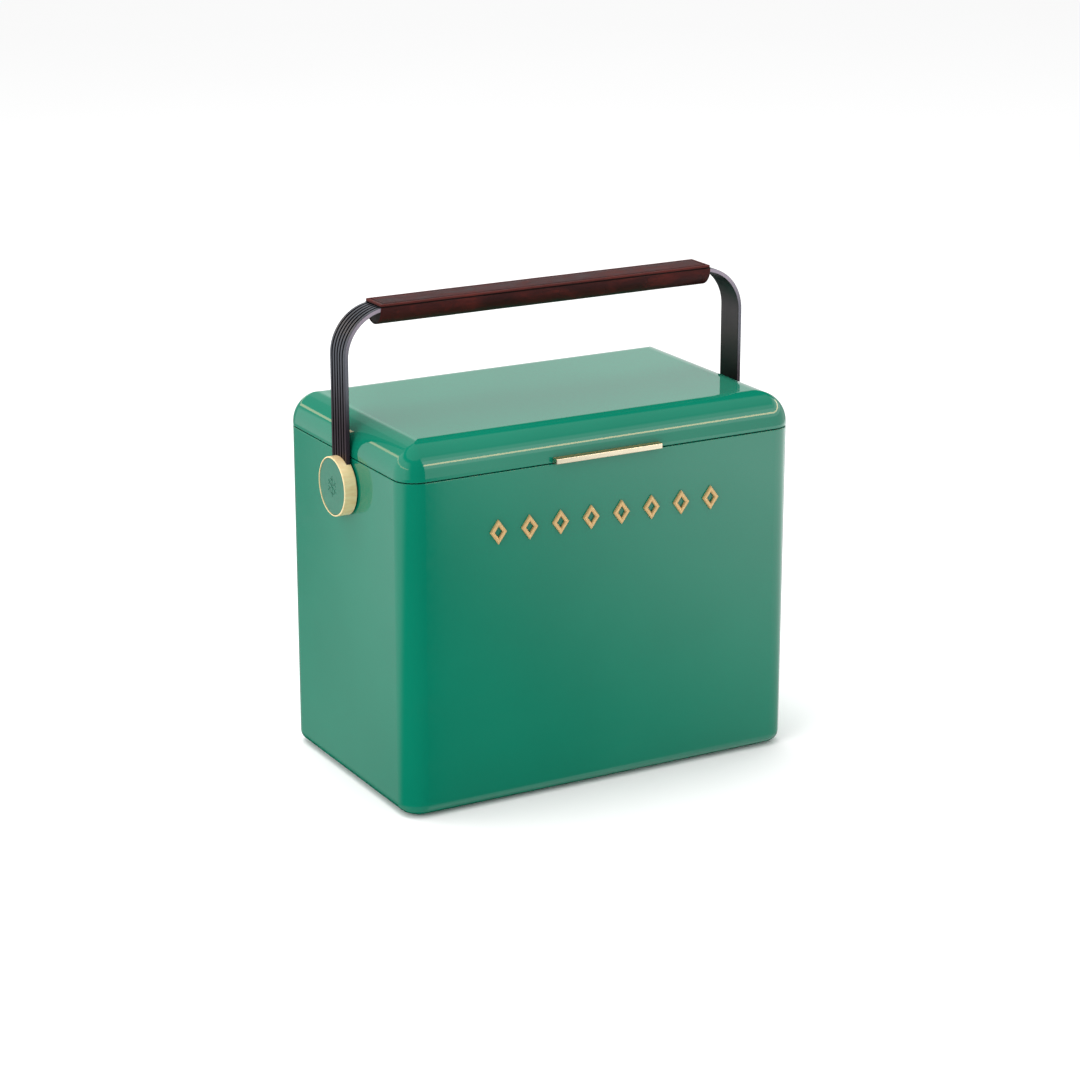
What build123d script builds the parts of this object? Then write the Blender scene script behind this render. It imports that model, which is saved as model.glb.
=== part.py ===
from build123d import *
import os
from math import asin, degrees, sqrt

# Hard-sided portable cooler box: insulated body, rear-hinged insulated lid and a U-shaped
# carry handle that swings on two round side hubs. Millimetres, +Z up, front towards -Y.
# The origin is on the floor, in the middle of the footprint.

# ---------------------------------------------------------------- body and lid
WIDTH = 350.0            # body and lid, left to right
DEPTH = 212.0            # body and lid, front to back
BASE_Z = 1.5             # underside of the body shell above the floor
SEAM_Z = 271.0           # middle of the seam between body and lid
SEAM_GAP = 0.8           # height of the seam
TOP_Z = 299.0            # top of the lid
CORNER_R = 18.0          # upright corners
BASE_EDGE_R = 9.0        # edge round the underside
LID_EDGE_R = 25.0        # edge round the lid's top, larger than the upright corners
SEAM_EDGE_R = 0.6        # softened edges on both sides of the seam
SHELL_T = 2.5            # outer shell wall
FOAM_T = 18.0            # insulation in the body's walls
LINER_T = 2.0            # inner liner wall
GAP = 0.1                # assembly gap between nested mouldings
CUT = 5.0                # how far a cutting tool runs past a face
TOUCH = 0.05             # clearance between faces that bear on each other
FOAM_CLEAR = 1.0         # room left in the foam round hardware
SCREW_CLEAR = 0.3        # room left in the foam round a screw

BODY_TOP = SEAM_Z - SEAM_GAP / 2
LID_LOW = SEAM_Z + SEAM_GAP / 2

COLLAR_T = 6.0           # height of the rim collar
COLLAR_LOW = BODY_TOP - COLLAR_T
MOUTH_INSET = SHELL_T + FOAM_T + LINER_T
MOUTH_R = 14.0           # upright corners of the mouth
LINER_FLOOR = 24.0       # underside of the liner's floor
LINER_FLOOR_R = 8.0

FLANGE_T = 3.5           # lid liner's flange
FLANGE_TOP = LID_LOW + FLANGE_T
PLUG_INSET = MOUTH_INSET + 2.5
PLUG_DROP = 13.4         # how far the lid's plug reaches below the flange
PLUG_R = 11.5
GASKET_OUTER = 13.5      # insets of the gasket from the body's faces
GASKET_INNER = 18.5
GASKET_TOP = LID_LOW + 1.8
GASKET_R = 4.0           # upright inner corners of the gasket
PLUG_EDGE_R = 4.0        # lower edge of the plug
MOUTH_EDGE_R = 2.0       # upper inner edge of the rim collar

# ---------------------------------------------------------------- feet
FOOT_R = 12.0
FOOT_T = 3.5
FOOT_X = 135.0
FOOT_Y = 70.0
FOOT_BOSS_R = 15.0
FOOT_BOSS_TOP = 13.0
FOOT_CHAMFER = 0.5
FOOT_SCREW_Z = 0.8       # face of the sunk screw head
FOOT_SCREW_R = 2.0
FOOT_SCREW_L = 9.0
SCREW_HEAD_RATIO = 1.9   # countersunk head's radius over the shank's

# ---------------------------------------------------------------- rear hinges
HINGE_X = 95.0           # middle of each hinge from the middle of the box
HINGE_W = 44.0
HINGE_R = 2.9            # barrel radius
HINGE_Y = DEPTH / 2 + 3.1
HINGE_Z = SEAM_Z
PIN_R = 1.2
RUNNING = 0.08           # radial clearance of a turning pin
LEAF_T = 1.4
KNUCKLES = 5
KNUCKLE_GAP = 0.3
WEB_LAP = 1.0            # a knuckle's web overlaps its leaf, and stops short of the pin's axis, by this
LEAF_CLEAR = 0.2         # room round the lid leaf in the lid
BODY_LEAF_LOW = 240.0
BODY_LEAF_TOP = HINGE_Z - HINGE_R - 1.2
LID_LEAF_Y = 93.8        # front edge of the lid leaf
LID_LEAF_BACK = DEPTH / 2 - 0.5
LID_SCREW_Y = 98.0
HINGE_SCREWS = (-15.0, 0.0, 15.0)

# ---------------------------------------------------------------- pull bar and magnets
PULL_W = 95.0
PULL_H = 4.4
PULL_OUT = 6.0           # how far the bar stands out from the lid's front
PULL_EDGE_R = 0.6
PULL_SCREW_X = 30.0
PULL_SCREW_IN = 3.6      # how far the screws reach into the bar
MAGNET_X = (-90.0, 0.0, 90.0)
MAGNET_INSET = 8.0
MAGNET_R = 4.5
MAGNET_T = 3.0
STRIKE_R = 5.0
STRIKE_T = 1.5

# ---------------------------------------------------------------- raised marks on the front
MARK_COUNT = 8
MARK_PITCH = 27.3
MARK_W = 14.4
MARK_H = 19.6
MARK_STROKE = 3.0        # width of the lozenge's band
MARK_OUT = 2.4
MARK_EDGE = 0.7
MARK_Z = 223.6

# ---------------------------------------------------------------- handle
PIVOT_Y = -4.5           # swing axis, a little in front of the middle
PIVOT_Z = 246.7
STRAP_W = 26.0
STRAP_T = 3.4
STRAP_OUT = 180.0        # outer face of each arm from the middle
STRAP_TOP = 387.0
STRAP_BEND_R = 38.0      # outer radius of the two bends
STRAP_TAIL = 12.0        # arm below the swing axis
STRAP_EDGE = 0.35
GROOVES = 5
GROOVE_PITCH = 4.5
GROOVE_W = 2.1
GROOVE_D = 0.9

GRIP_L = 297.0
GRIP_R = 14.2            # half-round underside
GRIP_STRIP_T = 2.3
GRIP_LEATHER_T = 1.2
GRIP_END_T = 2.0
STRIP_CORNER_R = 1.8
STRIP_EDGE_R = 0.8
GRIP_SCREW_X = (-110.0, 0.0, 110.0)

HUB_R = 23.6
HUB_BACK = WIDTH / 2 + 1.3
HUB_FACE = WIDTH / 2 + 12.0
HUB_PLATE = 2.0          # web that clamps the arm
HUB_SKIRT_T = 2.2
HUB_LIP_T = 1.0
HUB_SEAT_R = 20.0
HUB_EDGE = 0.35
INSERT_T = 2.1
INSERT_SUNK = 0.5
INSERT_EDGE = 0.3
BOLT_R = 3.0
BOLT_HEAD_R = 6.0
BOLT_HEAD_T = 2.2
BOLT_HEAD_EDGE = 0.5
HEAD_POCKET_R = 7.0      # pocket for the bolt's head in the back of the disc
HEAD_POCKET_D = 1.1
BOLT_IN = 12.0           # how far the bolt reaches inside the shell's face
WASHER_R = 19.0
WAVE_R = 8.0
WAVE_T = 0.8
SOCKET_R = 2.0           # hexagon socket in the bolt's head
SOCKET_DEPTH = 1.6
PIVOT_PLATE_T = 2.0
PLATE_HALF_W = 25.0      # load plate behind each pivot
PLATE_UP = 16.0
PLATE_DOWN = 22.0
PLATE_CORNER_R = 5.0
NUT_T = 5.0
NUT_R = 5.8
EMBLEM_DEPTH = 0.4
CRYSTAL_ARM = 8.4        # engraved snow crystal: arm length and width, barb length and width
CRYSTAL_ARM_W = 0.8
CRYSTAL_BARB = 3.0
CRYSTAL_BARB_W = 0.7
CRYSTAL_BARB_AT = 4.6


# ---------------------------------------------------------------- shared shapes
def block(x_range, y_range, z_range):
    """Plain block between two limits on each axis."""
    size = [high - low for low, high in (x_range, y_range, z_range)]
    middle = [(high + low) / 2 for low, high in (x_range, y_range, z_range)]
    return Pos(*middle) * Box(*size)


def rod(radius, start, end):
    """Round bar from one point to another."""
    run = Vector(*end) - Vector(*start)
    return extrude(Plane(origin=start, z_dir=run) * Circle(radius), run.length)


def rounded_block(inset, z_low, z_high, corner_r):
    """Upright block inset from the body's faces, with rounded upright corners."""
    half_w = WIDTH / 2 - inset
    half_d = DEPTH / 2 - inset
    solid = block((-half_w, half_w), (-half_d, half_d), (z_low, z_high))
    return fillet(solid.edges().filter_by(Axis.Z), corner_r)


def tub(inset, z_low, z_high, corner_r, floor_r):
    """Rounded block whose lower edge is rounded too."""
    solid = rounded_block(inset, z_low, z_high, corner_r)
    return fillet(solid.edges().group_by(Axis.Z)[0], floor_r)


def lid_form(inset, z_low):
    """Lid outline with a quarter-round top edge larger than its upright corners."""
    half_w = WIDTH / 2 - inset
    half_d = DEPTH / 2 - inset
    corner = CORNER_R - inset
    edge = LID_EDGE_R - inset
    top = TOP_Z - inset
    mid_z = (top + z_low) / 2
    across = Rectangle(2 * half_d, top - z_low)
    across = fillet(across.vertices().group_by(Axis.Y)[-1], edge)
    along = Rectangle(2 * half_w, top - z_low)
    along = fillet(along.vertices().group_by(Axis.Y)[-1], edge)
    form = extrude(Plane.YZ * Pos(0, mid_z) * across, half_w, both=True)
    form &= extrude(Plane.XZ * Pos(0, mid_z) * along, half_d, both=True)

    start = top - edge
    rise = sqrt(edge ** 2 - (edge - corner) ** 2)
    sweep_angle = degrees(asin(rise / edge))
    outline = Polyline((0, start + rise), (0, z_low), (corner, z_low), (corner, start))
    outline += CenterArc((corner - edge, start), edge, 0, sweep_angle)
    turned = revolve(make_face(Plane.XZ * outline), Axis.Z)
    for side in (-1, 1):
        for end in (-1, 1):
            x_limits = sorted((side * (half_w - corner), side * (half_w + CUT)))
            y_limits = sorted((end * (half_d - corner), end * (half_d + CUT)))
            form -= block(x_limits, y_limits, (z_low - CUT, top + CUT))
            form += Pos(side * (half_w - corner), end * (half_d - corner)) * turned
    return form


def countersunk(head, direction, length, radius, grow=0.0):
    """Countersunk screw with the centre of its head's face at a point; grow gives its hole."""
    shank_r = radius + grow
    head_r = SCREW_HEAD_RATIO * radius + grow
    cone_h = head_r - shank_r
    seat = Plane(origin=head, z_dir=direction)
    shank = Pos(0, 0, (length + grow) / 2) * Cylinder(shank_r, length + grow)
    cone = Pos(0, 0, cone_h / 2) * Cone(head_r, shank_r, cone_h)
    return seat * (shank + cone)


def both_sides(solid):
    """The right-hand solid and its mirror image on the left."""
    return {"right": solid, "left": mirror(solid, about=Plane.YZ)}


def group(*solids):
    """Several separate solids in one node."""
    return Compound(children=[each.solid() for each in solids])


NODES = {}

# ---------------------------------------------------------------- feet and their screws
foot_places = [(x, y) for x in (-FOOT_X, FOOT_X) for y in (-FOOT_Y, FOOT_Y)]


def foot_screw(x, y, grow=0.0):
    """Screw that holds one foot, head up inside the foot."""
    return countersunk((x, y, FOOT_SCREW_Z), (0, 0, 1), FOOT_SCREW_L, FOOT_SCREW_R, grow)


def foot(x, y):
    """Rubber foot, partly sunk in the body's underside."""
    pad = rod(FOOT_R, (x, y, 0), (x, y, FOOT_T))
    pad = chamfer(pad.edges().group_by(Axis.Z)[0], FOOT_CHAMFER)
    pad -= foot_screw(x, y, GAP)
    return pad - rod(SCREW_HEAD_RATIO * FOOT_SCREW_R + GAP, (x, y, -CUT), (x, y, FOOT_SCREW_Z))


NODES["rubber_feet"] = group(*[foot(x, y) for x, y in foot_places])
NODES["foot_screws"] = group(*[foot_screw(x, y) for x, y in foot_places])

# ---------------------------------------------------------------- pivot hardware
WALL_X = WIDTH / 2
PLATE_IN = WALL_X - SHELL_T - PIVOT_PLATE_T


def at_pivot(x):
    """Point on the swing axis."""
    return (x, PIVOT_Y, PIVOT_Z)


def pivot_bolt():
    """Shoulder bolt that the hub and arm turn on."""
    head_x = STRAP_OUT + HUB_PLATE + WAVE_T + TOUCH
    bolt = rod(BOLT_HEAD_R, at_pivot(head_x), at_pivot(head_x + BOLT_HEAD_T))
    bolt = chamfer(bolt.edges().group_by(Axis.X)[-1], BOLT_HEAD_EDGE)
    socket = Plane(origin=at_pivot(head_x + BOLT_HEAD_T), z_dir=(1, 0, 0)) * RegularPolygon(SOCKET_R, 6)
    bolt -= extrude(socket, -SOCKET_DEPTH)
    return bolt + rod(BOLT_R, at_pivot(WALL_X - BOLT_IN), at_pivot(head_x))


def pivot_plate_block(x_limits, grow=0.0):
    """Outline of the load plate between two X limits; grow gives its pocket."""
    half = PLATE_HALF_W + grow
    z_limits = (PIVOT_Z - PLATE_DOWN - grow, PIVOT_Z + PLATE_UP + grow)
    return block(x_limits, (PIVOT_Y - half, PIVOT_Y + half), z_limits)


def pivot_plate():
    """Steel plate inside the shell that spreads the handle's load."""
    plate = pivot_plate_block((PLATE_IN, WALL_X - SHELL_T))
    plate = fillet(plate.edges().filter_by(Axis.X), PLATE_CORNER_R)
    return plate - rod(BOLT_R + RUNNING, at_pivot(PLATE_IN - CUT), at_pivot(WALL_X))


def pivot_nut():
    """Hexagon nut behind the plate."""
    face = Plane(origin=at_pivot(PLATE_IN - NUT_T), z_dir=(1, 0, 0)) * RegularPolygon(NUT_R, 6)
    nut = extrude(face, NUT_T)
    return nut - rod(BOLT_R + RUNNING, at_pivot(PLATE_IN - NUT_T - CUT), at_pivot(WALL_X))


def ring(inner_r, outer_r, x_low, x_high):
    """Flat ring on the swing axis."""
    hole = rod(inner_r, at_pivot(x_low - CUT), at_pivot(x_high + CUT))
    return rod(outer_r, at_pivot(x_low), at_pivot(x_high)) - hole


wave_low = STRAP_OUT + HUB_PLATE + TOUCH
for side, solid in both_sides(pivot_bolt()).items():
    NODES["pivot_bolt_" + side] = solid
for side, solid in both_sides(pivot_plate()).items():
    NODES["pivot_plate_" + side] = solid
thrust = ring(BOLT_R + RUNNING, WASHER_R, WALL_X, STRAP_OUT - STRAP_T - GAP)
wave = ring(BOLT_R + RUNNING, WAVE_R, wave_low, wave_low + WAVE_T)
NODES["pivot_nuts"] = group(*both_sides(pivot_nut()).values())
NODES["thrust_washers"] = group(*both_sides(thrust).values())
NODES["friction_washers"] = group(*both_sides(wave).values())

# ---------------------------------------------------------------- rear hinge hardware
hinge_places = {"right": HINGE_X, "left": -HINGE_X}
BODY_SCREW_SPOTS = ((-15.0, 247.0), (0.0, 259.0), (15.0, 247.0))
HINGE_SCREW_R = 1.5
HINGE_SCREW_L = 9.0
BACKING_T = 2.0
BACKING_HALF = 22.0
LEAF_CORNER_R = 4.0
PIN_HEAD_R = 2.2
PIN_HEAD_T = 0.8
BACKING_TOP = COLLAR_LOW - 0.6    # just under the rim collar
REAR = DEPTH / 2


def body_hinge_screw(x, z, grow=0.0):
    """Screw through the body leaf, the shell and the backing plate."""
    head = (x, REAR + LEAF_T, z)
    return countersunk(head, (0, -1, 0), HINGE_SCREW_L, HINGE_SCREW_R, grow)


def lid_hinge_screw(x, grow=0.0):
    """Screw up through the lid leaf into the lid liner's boss."""
    return countersunk((x, LID_SCREW_Y, HINGE_Z), (0, 0, 1), HINGE_SCREW_L, HINGE_SCREW_R, grow)


def knuckle(x_mid, index, web):
    """One barrel knuckle joined to its leaf by a web."""
    pitch = HINGE_W / KNUCKLES
    x_low = x_mid - HINGE_W / 2 + index * pitch + KNUCKLE_GAP / 2
    x_high = x_low + pitch - KNUCKLE_GAP
    barrel = rod(HINGE_R, (x_low, HINGE_Y, HINGE_Z), (x_high, HINGE_Y, HINGE_Z))
    return barrel + block((x_low, x_high), *web)


def hinge_bore(x_mid):
    """Hole along the whole barrel for the pin."""
    reach = HINGE_W / 2 + CUT
    return rod(PIN_R + RUNNING, (x_mid - reach, HINGE_Y, HINGE_Z), (x_mid + reach, HINGE_Y, HINGE_Z))


def body_leaf(x_mid):
    """Upright leaf on the back of the body, with the outer and middle knuckles."""
    half = HINGE_W / 2
    leaf = block((x_mid - half, x_mid + half), (REAR, REAR + LEAF_T), (BODY_LEAF_LOW, BODY_LEAF_TOP))
    leaf = fillet(leaf.edges().filter_by(Axis.Y).group_by(Axis.Z)[0], LEAF_CORNER_R)
    web = ((REAR + GAP, REAR + LEAF_T), (BODY_LEAF_TOP - WEB_LAP, HINGE_Z - WEB_LAP))
    for index in range(0, KNUCKLES, 2):
        leaf += knuckle(x_mid, index, web)
    for dx, z in BODY_SCREW_SPOTS:
        leaf -= body_hinge_screw(x_mid + dx, z, GAP)
    return leaf - hinge_bore(x_mid)


def lid_leaf(x_mid):
    """Flat leaf let into the underside of the lid, with the two knuckles between."""
    half = HINGE_W / 2
    z_range = (HINGE_Z, HINGE_Z + LEAF_T)
    leaf = block((x_mid - half, x_mid + half), (LID_LEAF_Y, LID_LEAF_BACK), z_range)
    for index in range(1, KNUCKLES, 2):
        leaf += knuckle(x_mid, index, ((LID_LEAF_BACK - 1, HINGE_Y), z_range))
    for dx in HINGE_SCREWS:
        leaf -= lid_hinge_screw(x_mid + dx, GAP)
    return leaf - hinge_bore(x_mid)


def hinge_pin(x_mid):
    """Pin with a small head at each end."""
    half = HINGE_W / 2 + GAP
    pin = rod(PIN_R, (x_mid - half, HINGE_Y, HINGE_Z), (x_mid + half, HINGE_Y, HINGE_Z))
    for end in (-1, 1):
        start = (x_mid + end * half, HINGE_Y, HINGE_Z)
        pin += rod(PIN_HEAD_R, start, (x_mid + end * (half + PIN_HEAD_T), HINGE_Y, HINGE_Z))
    return pin


def backing_plate(x_mid):
    """Steel plate inside the shell that the hinge screws bite into."""
    y_range = (REAR - SHELL_T - BACKING_T, REAR - SHELL_T)
    plate = block((x_mid - BACKING_HALF, x_mid + BACKING_HALF), y_range, (BODY_LEAF_LOW + 1, BACKING_TOP))
    for dx, z in BODY_SCREW_SPOTS:
        plate -= body_hinge_screw(x_mid + dx, z, GAP)
    return plate


for side, x_mid in hinge_places.items():
    NODES["hinge_body_leaf_" + side] = body_leaf(x_mid)
    NODES["hinge_lid_leaf_" + side] = lid_leaf(x_mid)
    NODES["hinge_pin_" + side] = hinge_pin(x_mid)
body_screw_places = [(x + dx, z) for x in hinge_places.values() for dx, z in BODY_SCREW_SPOTS]
lid_screw_places = [x + dx for x in hinge_places.values() for dx in HINGE_SCREWS]
NODES["hinge_body_screws"] = group(*[body_hinge_screw(x, z) for x, z in body_screw_places])
NODES["hinge_lid_screws"] = group(*[lid_hinge_screw(x) for x in lid_screw_places])
NODES["hinge_backing_plates"] = group(*[backing_plate(x) for x in hinge_places.values()])


# ---------------------------------------------------------------- body
def body_shell():
    """Outer shell, open at the top, with foot bosses and holes for the fasteners."""
    shell = tub(0, BASE_Z, BODY_TOP, CORNER_R, BASE_EDGE_R)
    shell = fillet(shell.edges().group_by(Axis.Z)[-1], SEAM_EDGE_R)
    inside = tub(SHELL_T, BASE_Z + SHELL_T, BODY_TOP + CUT, CORNER_R - SHELL_T, BASE_EDGE_R - SHELL_T)
    shell -= inside
    for x, y in foot_places:
        shell += rod(FOOT_BOSS_R, (x, y, BASE_Z + SHELL_T / 2), (x, y, FOOT_BOSS_TOP))
        shell -= rod(FOOT_R + GAP, (x, y, -CUT), (x, y, FOOT_T))
        shell -= foot_screw(x, y, GAP)
    for side in (-1, 1):
        inner = at_pivot(side * (WALL_X - SHELL_T - CUT))
        shell -= rod(BOLT_R + RUNNING, inner, at_pivot(side * (WALL_X + CUT)))
    for x, z in body_screw_places:
        shell -= body_hinge_screw(x, z, GAP)
    return shell


def body_foam():
    """Rigid foam boards between shell and liner, by place, with pockets for the hardware."""
    inset = SHELL_T + GAP
    lowest = BASE_Z + SHELL_T
    outline = tub(inset, lowest, COLLAR_LOW, CORNER_R - inset, BASE_EDGE_R - inset)
    inner_x = WIDTH / 2 - MOUTH_INSET + LINER_T + GAP
    inner_y = DEPTH / 2 - MOUTH_INSET + LINER_T + GAP
    walls = (LINER_FLOOR, COLLAR_LOW)
    boards = {
        "floor": outline & block((-WIDTH, WIDTH), (-DEPTH, DEPTH), (lowest, LINER_FLOOR)),
        "front": outline & block((-WIDTH, WIDTH), (-DEPTH, -inner_y), walls),
        "rear": outline & block((-WIDTH, WIDTH), (inner_y, DEPTH), walls),
        "left": outline & block((-WIDTH, -inner_x), (-inner_y, inner_y), walls),
        "right": outline & block((inner_x, WIDTH), (-inner_y, inner_y), walls),
    }
    for x, y in foot_places:
        boards["floor"] -= rod(FOOT_BOSS_R + GAP, (x, y, BASE_Z), (x, y, FOOT_BOSS_TOP + GAP))
    for name, side in (("left", -1), ("right", 1)):
        x_limits = sorted((side * (PLATE_IN - GAP), side * WALL_X))
        boards[name] -= pivot_plate_block(x_limits, FOAM_CLEAR)
        nut_end = at_pivot(side * (WALL_X - BOLT_IN - FOAM_CLEAR))
        boards[name] -= rod(NUT_R + FOAM_CLEAR, nut_end, at_pivot(side * WALL_X))
    pocket_y = (REAR - SHELL_T - BACKING_T - GAP, REAR)
    pocket_half = BACKING_HALF + FOAM_CLEAR
    for x in hinge_places.values():
        x_limits = (x - pocket_half, x + pocket_half)
        boards["rear"] -= block(x_limits, pocket_y, (BODY_LEAF_LOW, BACKING_TOP + GAP))
    for x, z in body_screw_places:
        boards["rear"] -= body_hinge_screw(x, z, SCREW_CLEAR)
    return boards


def body_liner():
    """Food-safe inner tub."""
    outer = tub(MOUTH_INSET - LINER_T, LINER_FLOOR, COLLAR_LOW, MOUTH_R + LINER_T, LINER_FLOOR_R + LINER_T)
    return outer - tub(MOUTH_INSET, LINER_FLOOR + LINER_T, COLLAR_LOW + CUT, MOUTH_R, LINER_FLOOR_R)


def front_spot(x, z):
    """Point above the front rim where a magnet meets its strike disc."""
    return (x, -(DEPTH / 2 - MAGNET_INSET), z)


def rim_collar():
    """Frame that closes the gap between shell and liner round the mouth."""
    inset = SHELL_T + GAP
    collar = rounded_block(inset, COLLAR_LOW, BODY_TOP, CORNER_R - inset)
    collar -= rounded_block(MOUTH_INSET, COLLAR_LOW - CUT, BODY_TOP + CUT, MOUTH_R)
    inner_top = collar.edges().group_by(Axis.Z)[-1].filter_by(
        lambda edge: abs(edge.center().X) < WIDTH / 2 - MOUTH_INSET + GAP
        and abs(edge.center().Y) < DEPTH / 2 - MOUTH_INSET + GAP)
    collar = fillet(inner_top, MOUTH_EDGE_R)
    for x in MAGNET_X:
        collar -= rod(STRIKE_R + GAP, front_spot(x, BODY_TOP - STRIKE_T), front_spot(x, BODY_TOP + CUT))
    return collar


def strike_disc(x):
    """Steel disc let into the rim, flush with it."""
    return rod(STRIKE_R, front_spot(x, BODY_TOP - STRIKE_T), front_spot(x, BODY_TOP))


def lozenge(x):
    """Raised open lozenge on the front face."""
    def diamond(width, height):
        return Polygon((-width / 2, 0), (0, -height / 2), (width / 2, 0), (0, height / 2))
    slant = sqrt(MARK_W ** 2 + MARK_H ** 2)
    trim = 2 * MARK_STROKE * slant / (MARK_W * MARK_H)
    face = diamond(MARK_W, MARK_H) - diamond(MARK_W * (1 - trim), MARK_H * (1 - trim))
    place = Plane(origin=(x, -DEPTH / 2, MARK_Z), x_dir=(1, 0, 0), z_dir=(0, -1, 0))
    mark = extrude(place * face, MARK_OUT)
    return chamfer(mark.edges().group_by(Axis.Y)[0], MARK_EDGE)


mark_places = [(index - (MARK_COUNT - 1) / 2) * MARK_PITCH for index in range(MARK_COUNT)]
NODES["body_shell"] = body_shell()
for place, board in body_foam().items():
    NODES["foam_" + place] = board
NODES["body_liner"] = body_liner()
NODES["rim_collar"] = rim_collar()
NODES["strike_discs"] = group(*[strike_disc(x) for x in MAGNET_X])
NODES["front_marks"] = group(*[lozenge(x) for x in mark_places])

# ---------------------------------------------------------------- lid
PULL_LOW = LID_LOW + GAP
PULL_SCREW_Z = PULL_LOW + PULL_H / 2
PULL_SCREW_R = 1.0
PULL_SCREW_HEAD_R = 1.9
PULL_SCREW_HEAD_T = 1.8
BOSS_HALF = 20.0
BOSS_BACK = 101.4
BOSS_FRONT = 94.2
BOSS_LOW = LID_LOW + FLANGE_T / 2
BOSS_TOP = FLANGE_TOP + 7.6


def pull_screw(x, grow=0.0):
    """Screw from inside the lid's front wall into the pull bar."""
    wall = -(DEPTH / 2 - SHELL_T)
    tip = (x, -(DEPTH / 2 + PULL_SCREW_IN + grow), PULL_SCREW_Z)
    head_end = (x, wall + PULL_SCREW_HEAD_T + grow, PULL_SCREW_Z)
    shank = rod(PULL_SCREW_R + grow, (x, wall, PULL_SCREW_Z), tip)
    return shank + rod(PULL_SCREW_HEAD_R + grow, (x, wall, PULL_SCREW_Z), head_end)


def pull_bar():
    """Finger bar along the lid's lower front edge."""
    front = -(DEPTH / 2 + PULL_OUT)
    bar = block((-PULL_W / 2, PULL_W / 2), (front, -DEPTH / 2), (PULL_LOW, PULL_LOW + PULL_H))
    bar = fillet(bar.edges().group_by(Axis.Y)[0], PULL_EDGE_R)
    for x in (-PULL_SCREW_X, PULL_SCREW_X):
        bar -= pull_screw(x, GAP)
    return bar


def leaf_notch(x_mid):
    """Room for the lid leaf in the lid's underside."""
    half = HINGE_W / 2 + LEAF_CLEAR
    z_range = (LID_LOW - CUT, HINGE_Z + LEAF_T + GAP)
    return block((x_mid - half, x_mid + half), (LID_LEAF_Y - LEAF_CLEAR, REAR + CUT), z_range)


def lid_shell():
    """Outer lid shell, open underneath."""
    shell = lid_form(0, LID_LOW)
    shell = fillet(shell.edges().group_by(Axis.Z)[0], SEAM_EDGE_R)
    shell -= lid_form(SHELL_T, LID_LOW - CUT)
    for x in hinge_places.values():
        shell -= leaf_notch(x)
    for x in (-PULL_SCREW_X, PULL_SCREW_X):
        shell -= pull_screw(x, GAP)
    return shell


def lid_liner():
    """Underside panel with the plug that fills the mouth."""
    inset = SHELL_T + GAP
    plug_low = LID_LOW - PLUG_DROP
    liner = rounded_block(inset, LID_LOW, FLANGE_TOP, CORNER_R - inset)
    liner += tub(PLUG_INSET, plug_low, LID_LOW + 1, PLUG_R, PLUG_EDGE_R)
    for x in hinge_places.values():
        liner += block((x - BOSS_HALF, x + BOSS_HALF), (BOSS_FRONT, BOSS_BACK), (BOSS_LOW, BOSS_TOP))
        liner -= leaf_notch(x)
    liner -= tub(PLUG_INSET + LINER_T, plug_low + LINER_T, FLANGE_TOP + CUT, PLUG_R - LINER_T,
                 PLUG_EDGE_R - LINER_T)
    liner -= gasket_band(GASKET_OUTER - GAP, GASKET_INNER + GAP, LID_LOW - CUT, GASKET_TOP)
    for x in lid_screw_places:
        liner -= lid_hinge_screw(x, GAP)
    for x in MAGNET_X:
        liner -= rod(MAGNET_R + GAP, front_spot(x, LID_LOW - CUT), front_spot(x, LID_LOW + MAGNET_T))
    for x in (-PULL_SCREW_X, PULL_SCREW_X):
        liner -= pull_screw(x, 2 * GAP)
    return liner


def gasket_band(outer, inner, z_low, z_high):
    """Closed band that follows the rim between two insets."""
    band = rounded_block(outer, z_low, z_high, GASKET_R + CORNER_R - outer)
    return band - rounded_block(inner, z_low - CUT, z_high + CUT, GASKET_R)


def lid_foam():
    """Foam that fills the lid above the liner's flange."""
    foam = lid_form(SHELL_T + GAP, LID_LOW)
    foam &= block((-WIDTH, WIDTH), (-DEPTH, DEPTH), (FLANGE_TOP, TOP_Z + CUT))
    for x in hinge_places.values():
        x_limits = (x - BOSS_HALF - GAP, x + BOSS_HALF + GAP)
        foam -= block(x_limits, (BOSS_FRONT - GAP, BOSS_BACK + GAP), (FLANGE_TOP - CUT, BOSS_TOP + GAP))
    for x in (-PULL_SCREW_X, PULL_SCREW_X):
        foam -= pull_screw(x, 2 * GAP)
    return foam


def plug_foam():
    """Foam block inside the plug, up to the flange's top."""
    inset = PLUG_INSET + LINER_T + GAP
    low = LID_LOW - PLUG_DROP + LINER_T
    return tub(inset, low, FLANGE_TOP, PLUG_R - LINER_T - GAP, PLUG_EDGE_R - LINER_T)


def magnet(x):
    """Round magnet flush with the lid's underside."""
    return rod(MAGNET_R, front_spot(x, LID_LOW), front_spot(x, LID_LOW + MAGNET_T))


NODES["lid_shell"] = lid_shell()
NODES["lid_liner"] = lid_liner()
NODES["lid_foam"] = lid_foam()
NODES["plug_foam"] = plug_foam()
NODES["lid_gasket"] = gasket_band(GASKET_OUTER, GASKET_INNER, BODY_TOP + TOUCH, GASKET_TOP)
NODES["lid_magnets"] = group(*[magnet(x) for x in MAGNET_X])
NODES["pull_bar"] = pull_bar()
NODES["pull_bar_screws"] = group(*[pull_screw(x) for x in (-PULL_SCREW_X, PULL_SCREW_X)])

# ---------------------------------------------------------------- handle
STRAP_LOW = PIVOT_Z - STRAP_TAIL
BEND_X = STRAP_OUT - STRAP_BEND_R
BEND_Z = STRAP_TOP - STRAP_BEND_R
MID_R = STRAP_BEND_R - STRAP_T / 2
GRIP_Z = STRAP_TOP - 1.5
GRIP_SCREW_R = 1.5
GRIP_SCREW_L = 9.0


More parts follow.
